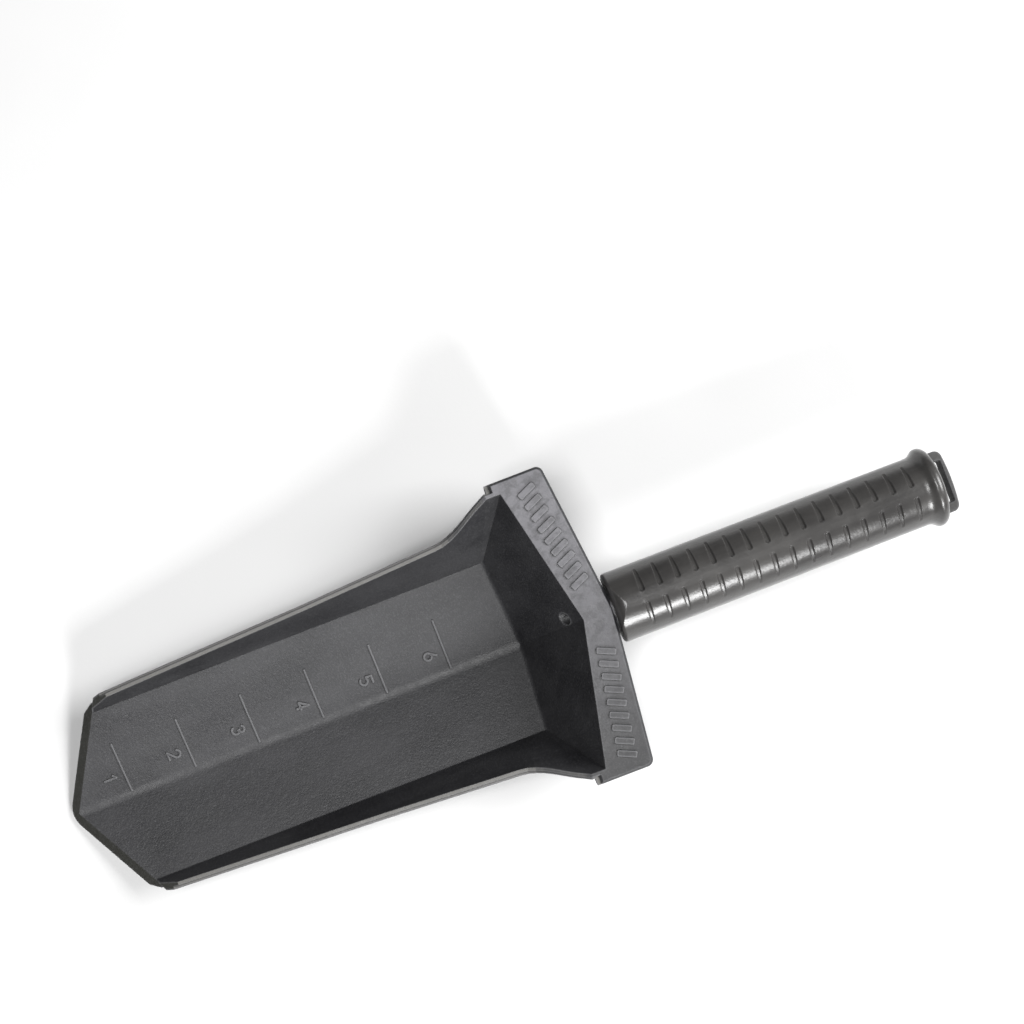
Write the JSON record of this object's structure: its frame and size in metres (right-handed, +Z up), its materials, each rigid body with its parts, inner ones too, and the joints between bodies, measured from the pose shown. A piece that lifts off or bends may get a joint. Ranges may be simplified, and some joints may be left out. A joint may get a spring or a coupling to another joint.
{
  "type": "detecting shovel",
  "caption": "Hand digging shovel with a V-floored scoop marked in inches, a wide guard, a ribbed round grip and a lanyard eyelet.",
  "frame": {"origin": "middle of the underside: centre of the bounding box in X and Y, at the flat keel that it rests on", "axes": "+X along the shovel from the scoop's tip to the lanyard eyelet, +Y across it, +Z up, out of the open scoop"},
  "size_m": [0.3406, 0.1118, 0.0471],
  "materials": {
    "blade": "fine spark texture",
    "core": "fine spark texture",
    "grip": "satin gloss",
    "screw": "blackened steel",
    "insert": "knurled"
  },
  "bodies": {
    "root": {"blade": "blade", "handle_core": "core", "grip_sleeve": "grip", "tang_screw": "screw", "threaded_insert": "insert"}
  },
  "joints": []
}
